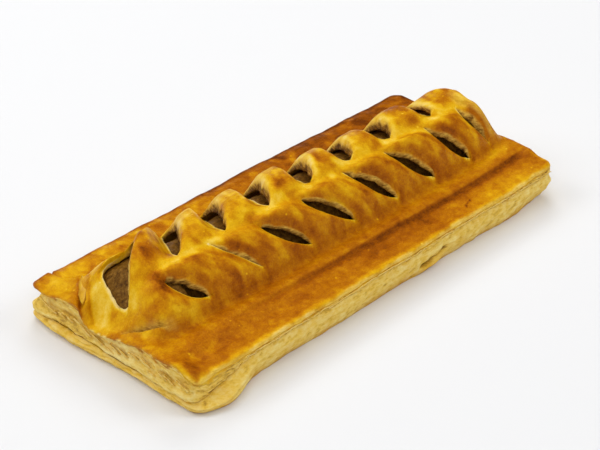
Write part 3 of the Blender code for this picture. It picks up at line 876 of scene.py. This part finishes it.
def makeUpperSheet(material):
    near, far, count = sheetKnots()
    rows = sheet["rows"]
    rowPlaces = crowdedRows(rows, roll["halfWidth"], sheet["rowCrowding"])
    columns = [columnPlaces(y, near, far, count) for y in rowPlaces]
    slitAt = {**dict(zip(near, nearSlits)), **dict(zip(far, farSlits))}
    bm = cutGrid(rowPlaces, slitAt, count)
    thicken(bm)
    places = {}

    def placeOf(column, row, side):
        # flat place of a grid point, and how it lies in its near and its far strip
        key = (column, row, side)
        if key not in places:
            x, y = columns[row][column], rowPlaces[row]
            nearStrip, nearShare = stripShare(column, side, near, count)
            farStrip, farShare = stripShare(column, side, far, count)
            if y < -1.5:
                x, y = openSlits(x, y, nearStrip, nearShare, nearSlits)
            if y > -3.2:
                x, y = openSlits(x, y, farStrip, farShare, farSlits)
            places[key] = (*roundCorner(x, y), (nearStrip, nearShare, farStrip, farShare))
        return places[key]

    columnLayer, rowLayer, sideLayer, levelLayer = [bm.verts.layers.float[name] for name in gridLayers]
    bakeLayer, cutLayer, leafLayer = [bm.verts.layers.float.new(name) for name in crustLayers]

    # rims of the slits, for the pale edge along them, partly paler dough and partly painted highlight
    rims = set()
    for vert in bm.verts:
        if vert[levelLayer] == 1 and vert[sideLayer] != 0:
            rims.add((round(vert[columnLayer]), round(vert[rowLayer]), round(vert[sideLayer])))
    rims = sorted(rims)
    rimTree = kdtree.KDTree(len(rims))
    for index, key in enumerate(rims):
        x, y, _ = placeOf(*key)
        rimTree.insert((x, y, 0), index)
    rimTree.balance()

    for vert in bm.verts:
        column, row = round(vert[columnLayer]), round(vert[rowLayer])
        side, level = round(vert[sideLayer]), vert[levelLayer]
        x, y, strips = placeOf(column, row, side)
        top = sheetTop(x, y, strips)
        _, fuller = stripShape(x, y, strips)
        bottom = min(sheetUnderside(x, y, fuller), top - sheet["thinnest"])
        height = mix(bottom, top, level)
        out = outwardAt(x, y)
        co = Vector((x, y, height)) + out * wobble(x, y, height) * ease(3.5, 0, edgeGap(x, y))
        crumb, pale = tornTop(x, y, strips)
        if side != 0 and level < 1:
            lean, crumb, pale = slitWall(x, y, height, level, side, slitAt[column], rowPlaces[row])
            co.x += lean
        elif level < 1 and (row in (0, rows) or column in (0, count)):
            move, crumb, pale = borderWall(x, y, height, level)
            co += out * move
        _, nearest, rimDistance = rimTree.find((x, y, 0))
        vert[bakeLayer] = browningWithPaintedLightAt(x, y, strips, rimDistance, rims[nearest][2])
        vert[cutLayer] = crumb
        vert[leafLayer] = pale
        vert.co = co

    simplifyUnderside(bm)
    soften = [v for v in bm.verts if v[sideLayer] != 0 and v[levelLayer] == 1]
    bmesh.ops.smooth_vert(bm, verts=soften, factor=sheet["rimSmoothing"],
                          use_axis_x=True, use_axis_y=True, use_axis_z=True)
    piece = finishPiece(bm, "upper_sheet", material)
    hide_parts("pastry_lattice")
    print("upper sheet:", len(piece.data.polygons), "faces")
    return piece


base = {
    "around": 760,
    "wallLayers": 26,
    "insets": (1.3, 0.0, -0.4, 0.5),        # of the wall, from its foot to the seam
    "shelf": (0.0, 1.2, 12.0, 15.0, 15.0),  # how far inside the wall each ring past it lies
    "bed": 3.5,                     # height of the middle, under the meat
    "cornerBulge": 4.4,
    "endBulge": 1.6,
    # where the near side has torn open: along, up, half length and half height
    "pockets": [(19.2, 3.6, 3.2, 0.8), (27.4, 5.2, 1.5, 0.9), (23.5, 4.2, 3.0, 0.35)],
    "flap": (21.5, 2.0, 7.0, 1.0),
}


def outlinePoint(share):
    # a point on the rounded outline, by its share of the way round, and which way is out there
    radius = roll["cornerRadius"]
    sides = [2 * (roll["halfLength"] - radius), 2 * (roll["halfWidth"] - radius)]
    travel = (share % 1) * (2 * sum(sides) + 2 * math.pi * radius)
    x, y, heading = -sides[0] / 2, -roll["halfWidth"], 0
    for side in 2 * sides:
        part = min(travel, side)
        x += part * math.cos(heading)
        y += part * math.sin(heading)
        turn = min((travel - part) / radius, math.pi / 2)
        x += radius * (math.sin(heading + turn) - math.sin(heading))
        y -= radius * (math.cos(heading + turn) - math.cos(heading))
        heading += turn
        travel -= part + turn * radius
    return x, y, heading - math.pi / 2


def patch(along, up, middle, height, halfLength, halfHeight):
    # 1 in the middle of a soft oval patch on the near side, 0 away from it
    tilted = up - height - 0.12 * (along - middle) + 0.5 * lumps(along, 0, 0, 3.4, middle)
    return math.exp(-((along - middle) / halfLength) ** 4 - (tilted / halfHeight) ** 2)


def stackRings():
    # a circle of edges drawn up ring by ring, and closed over the middle
    bm = bmesh.new()
    bmesh.ops.create_circle(bm, segments=base["around"], radius=1, cap_ends=False)
    level = bm.verts.layers.float.new("level")
    share = bm.verts.layers.float.new("share")
    for vert in bm.verts:
        vert[share] = (math.atan2(vert.co.y, vert.co.x) / (2 * math.pi)) % 1
    ring = bm.edges[:]
    for step in range(base["wallLayers"] + len(base["shelf"]) - 1):
        made = bmesh.ops.extrude_edge_only(bm, edges=ring)
        ring = [e for e in made["geom"] if isinstance(e, bmesh.types.BMEdge)]
        for vert in madeVerts(made):
            vert[level] = step + 1
    bmesh.ops.contextual_create(bm, geom=ring)
    return bm


def makeBaseSheet(material):
    bm = stackRings()
    rings = base["wallLayers"]
    level, share = bm.verts.layers.float["level"], bm.verts.layers.float["share"]
    bake, cut, leafLayer = [bm.verts.layers.float.new(name) for name in crustLayers]
    for vert in bm.verts:
        x, y, heading = outlinePoint(vert[share])
        out = Vector((math.cos(heading), math.sin(heading), 0))
        step = round(vert[level])
        rise = min(step / rings, 1.0)
        top = seamHeight(x, y) - 0.1
        height = top * rise
        profile = np.interp(rise, [0, 1 / 3, 2 / 3, 1], base["insets"])
        nearSide = ease(-0.4, -1, y / roll["halfWidth"])
        lifted = nearSide * ease(66, roll["halfLength"], x)
        profile += 1.8 * lifted * max(0, 1 - rise * 1.5)
        bulge = base["cornerBulge"] * bell(x + 75.5, 11) * nearSide
        bulge *= mix(1, 0.4, ease(0.6, 1, rise))
        co = Vector((x, y, 0)) - out * profile
        co.y -= bulge
        if x < -85 and rise < 1:
            co.x -= base["endBulge"] * bell(y - 17, 14)
        leftEnd = ease(-80, -85, x)
        leaf = strata(x - y, height, mix(2.6, 1.3, leftEnd), 3.0)
        mottle = 0.7 * lumps(x, y, height * 1.3, 2.6, 4) + 0.5 * lumps(x, y, height, 1.3, 6)
        roughen = ease(0, 0.15, rise)
        if step <= rings:
            swell = mix(0.25, 0.6, leftEnd) * (leaf - 0.5) + 0.32 * mottle + 0.4 * lumps(x, y, height, 9, 2)
            pit = ease(0.1, 0.5, lumps(x, y, 0, 5, 6.6))
            drawn = (0.15 + 0.6 * pit * ease(-86, -80, x)) * ease(0.85, 1, rise)
            co += out * (wobble(x, y, height) + roughen * swell - drawn)
        nearFace = ease(-30, -36, y)
        pocket = nearFace * min(1, sum(patch(x, height, *spot) for spot in base["pockets"]))
        flap = nearFace * patch(x, height, *base["flap"])
        co += out * (0.8 * flap - 1.9 * pocket)
        foot = ease(0.75, 0.2, rise) * (step <= rings)
        co += out * foot * (0.7 * lumps(x, y, 0, 12, 3.4) + 0.4 * lumps(x, y, 0, 4, 6.4) - 0.15)
        co -= out * base["shelf"][max(0, step - rings)]
        co.z = height if step <= rings + 2 else base["bed"]
        cloud = lumps(x, y, height * 0.8, 5.5, 1.1)
        vert[bake] = clamp(0.38 + 0.12 * mottle + 0.25 * ease(0.3, 0, rise))
        vert[cut] = clamp(0.92 + 0.5 * cloud - 0.4 * ease(0.3, 0, rise)) * mix(1, 0.75, leftEnd)
        vert[cut] = mix(vert[cut], 0.35, flap)
        # paler on the leaves' edges, darker in the gaps under them, and dark in the torn pockets: painted
        # highlights and painted shade
        vert[leafLayer] = mix(0.64, 0.7, leftEnd) + mix(0.16, 0.3, leftEnd) * (leaf - 0.25 * leftEnd)
        vert[leafLayer] += 0.30 * mottle - 0.8 * pocket
        vert.co = co
    floorEdges = [e for e in bm.edges if e.is_boundary]
    bmesh.ops.contextual_create(bm, geom=floorEdges)
    piece = finishPiece(bm, "base_sheet", material)
    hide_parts("pastry_base")
    print("base sheet:", len(piece.data.polygons), "faces")
    return piece


# Loose leaves along the seam, on the left end and beside the open end's collar
flakes = {
    "alongSeam": 34,
    "leftEnd": 16,
    "thickness": 0.35,
    "collarLeaf": ((-79.6, 18.6, 15.6), (-0.64, -0.77, -0.02), (0.75, -0.62, 0.45), 15.0, 2.6),
}


def addFlake(bm, middle, along, up, length, width, curl, looks, pale=0.8):
    # one thin, slightly curled leaf of pastry with ragged ends
    bake, cut, leafLayer = looks
    along, up = Vector(along).normalized(), Vector(up).normalized()
    out = along.cross(up)
    made = bmesh.ops.create_grid(bm, x_segments=12, y_segments=4, size=1)
    faces = list({f for v in made["verts"] for f in v.link_faces})
    seed = middle[0] * 1.7 + middle[1]
    for vert in made["verts"]:
        share, rise = vert.co.x, vert.co.y
        ragged = 1 + 0.35 * lumps(share * 3, seed, 0, 1, 2)
        reach = (1 - abs(share) ** 2.5) * ragged + 0.1
        bend = curl * (rise + 1) ** 2 / 4 + 0.25 * lumps(share * 2, rise, seed, 1, 5)
        spot = Vector(middle) + along * share * length / 2 + up * rise * reach * width / 2 + out * bend
        vert[bake] = clamp(0.45 + 0.25 * lumps(share * 2, rise, seed, 1, 3))
        vert[cut] = pale
        vert[leafLayer] = clamp(0.62 + 0.2 * rise + 0.25 * lumps(share * 3, rise * 2, seed, 1, 9))
        vert.co = spot
    made = bmesh.ops.extrude_face_region(bm, geom=faces)
    for vert in madeVerts(made):
        vert.co -= out * flakes["thickness"]


def makeFlakes(material):
    bm = bmesh.new()
    looks = [bm.verts.layers.float.new(name) for name in crustLayers]
    half, side = roll["halfLength"], roll["halfWidth"]
    count = flakes["alongSeam"]
    for k in range(count):
        x = mix(-66, half - 5, (k + 0.5 * lumps(k, 0, 0, 0.7, 3)) / (count - 1))
        z = seamHeight(x, -side) + 0.5 + 0.7 * lumps(k, 2, 0, 0.7, 5)
        y = -side - wobble(x, -side, z) + 0.1
        tilt = 0.12 * lumps(k, 4, 0, 0.7, 1)
        length = 5.5 + 3 * lumps(k, 1, 0, 0.7, 7)
        addFlake(bm, (x, y, z), (1, 0, tilt), (0, -0.25, 1), length, 1.1, 0.4, looks)
    count = flakes["leftEnd"]
    for k in range(count):
        y = mix(-32, 30, (k + 0.5 * lumps(k, 3, 0, 0.7, 3)) / (count - 1))
        top = np.interp(y, *zip(*sheet["leftEdge"]))
        z = mix(seamHeight(-half, y) + 1, top - 2, 0.5 + 0.5 * lumps(k, 7, 0, 0.7, 5))
        x = -half - wobble(-half, y, z) + 0.2
        length = 5 + 2.5 * lumps(k, 5, 0, 0.7, 7)
        tilt = -0.25 + 0.4 * lumps(k, 6, 0, 0.7, 1)
        addFlake(bm, (x, y, z), (0, -1, tilt), (-0.3, 0, 1), length, 1.6, 0.6, looks)
    middle, along, up, length, width = flakes["collarLeaf"]
    addFlake(bm, middle, along, up, length, width, 0.5, looks, 0.25)
    piece = finishPiece(bm, "flakes", material)
    print("flakes:", len(piece.data.polygons), "faces")
    return piece


meat = {
    "start": -78.5,
    "end": 79.0,
    "middle": 5.0,
    "halfWidth": 14.5,
    "floor": 3.8,
    "top": 22.8,
    "openMiddle": 3.2,              # the same under the open end, which it fills
    "openHalfWidth": 16.5,
    "openTop": 25.0,
    "around": 72,
    "along": 220,
}


def makeMeat(material):
    bm = bmesh.new()
    bmesh.ops.create_cone(bm, cap_ends=True, segments=meat["around"], radius1=1, radius2=1, depth=2)
    longEdges = [e for e in bm.edges if abs(e.verts[0].co.z - e.verts[1].co.z) > 1]
    bmesh.ops.subdivide_edges(bm, edges=longEdges, cuts=meat["along"] - 1)
    for vert in bm.verts:
        across, up, share = vert.co.x, vert.co.y, (vert.co.z + 1) / 2
        x = mix(meat["start"], meat["end"], share)
        toEnd = min(x - meat["start"], meat["end"] - x)
        endRound = mix(0.72, 1, ease(0, 5, toEnd) ** 0.5)
        openEnd = ease(-57, -66, x)
        middle = mix(meat["middle"], meat["openMiddle"], openEnd)
        halfWidth = mix(meat["halfWidth"], meat["openHalfWidth"], openEnd)
        y = middle + halfWidth * across * endRound
        crown = max(0, up * 0.65 + 0.35) ** mix(1, 0.6, openEnd)
        top = mix(meat["top"], meat["openTop"], openEnd)
        z = meat["floor"] + (top - meat["floor"]) * mix(endRound, 1, openEnd) * crown
        z = min(z, sheetUnderside(x, y) - mix(0.7, 0.35, openEnd))
        if crown > 0:
            z += 0.5 * lumps(x, y, z, 3.5, 6) + 0.35 * lumps(x, y, z, 1.4, 3) - 0.3
        vert.co = Vector((x, y, max(z, meat["floor"])))
    piece = finishPiece(bm, "sausage_meat", material)
    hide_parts("sausage_filling")
    print("meat:", len(piece.data.polygons), "faces")
    return piece


studio = {
    "azimuth": 46.41,               # the camera stands off the roll's left front corner
    "elevation": 32.23,
    "distance": 649.9,
    "aim": (11.3, 13.1, 0.0),
    "lens": 115.3,
    "skyColor": (1.0, 0.93, 0.86),
    "skyStrength": 0.28,
    "lampColor": (0.98, 1.003, 1.03),
    "paper": 0.8,
    # softboxes: place, width and depth, power, seen in the gloss
    "softboxes": [
        ((0.00, 0.10, 0.95), 0.6, 0.6, 2.82, False),
        ((-0.55, 0.50, 0.65), 0.5, 0.5, 2.75, False),
        ((0.55, 0.55, 0.65), 0.5, 0.5, 3.0, False),
        ((-0.55, -0.55, 0.65), 0.5, 0.5, 2.15, False),
        ((0.55, -0.55, 0.60), 0.5, 0.5, 2.45, False),
        ((-0.15, 0.55, 0.55), 0.30, 0.10, 0.3, True),
    ],
}


def makeStudio():
    bpy.ops.mesh.primitive_plane_add(size=6)
    floor = bpy.context.object
    floor.name = "floor"
    material, _, shader = newMaterial("paperFloor")
    shader.inputs["Base Color"].default_value = (studio["paper"], studio["paper"], studio["paper"] * 1.005, 1)
    shader.inputs["Roughness"].default_value = 0.9
    shader.inputs["Specular IOR Level"].default_value = 0.0
    floor.data.materials.append(material)

    world = bpy.data.worlds.new("studio")
    bpy.context.scene.world = world
    world.use_nodes = True
    background = world.node_tree.nodes["Background"]
    background.inputs["Color"].default_value = (*studio["skyColor"], 1)
    background.inputs["Strength"].default_value = studio["skyStrength"]
    world.cycles_visibility.glossy = False

    for number, (place, width, depth, power, inGloss) in enumerate(studio["softboxes"]):
        lamp = bpy.data.lights.new(f"softbox{number}", "AREA")
        lamp.shape = "RECTANGLE"
        lamp.size = width
        lamp.size_y = depth
        lamp.energy = power
        lamp.color = studio["lampColor"]
        box = bpy.data.objects.new(f"softbox{number}", lamp)
        bpy.context.scene.collection.objects.link(box)
        box.location = place
        box.rotation_euler = (-Vector(place)).to_track_quat("-Z", "Y").to_euler()
        box.visible_glossy = inGloss

    camera = bpy.data.objects.new("camera", bpy.data.cameras.new("camera"))
    bpy.context.scene.collection.objects.link(camera)
    camera.data.sensor_width = 36
    camera.data.lens = studio["lens"]
    camera.data.clip_start = 0.01
    azimuth, elevation = math.radians(studio["azimuth"]), math.radians(studio["elevation"])
    back = Vector((-math.sin(azimuth) * math.cos(elevation), -math.cos(azimuth) * math.cos(elevation),
                   math.sin(elevation)))
    camera.location = rollMiddle + (Vector(studio["aim"]) + back * studio["distance"]) * mm
    camera.rotation_euler = (-back).to_track_quat("-Z", "Y").to_euler()
    bpy.context.scene.camera = camera
    bpy.context.scene.view_settings.view_transform = "Standard"
    bpy.context.scene.view_settings.look = "None"
    print("studio ready")


crust = makeCrustMaterial()
makeUpperSheet(crust)
makeBaseSheet(crust)
makeFlakes(crust)
makeMeat(makeMeatMaterial())
makeStudio()
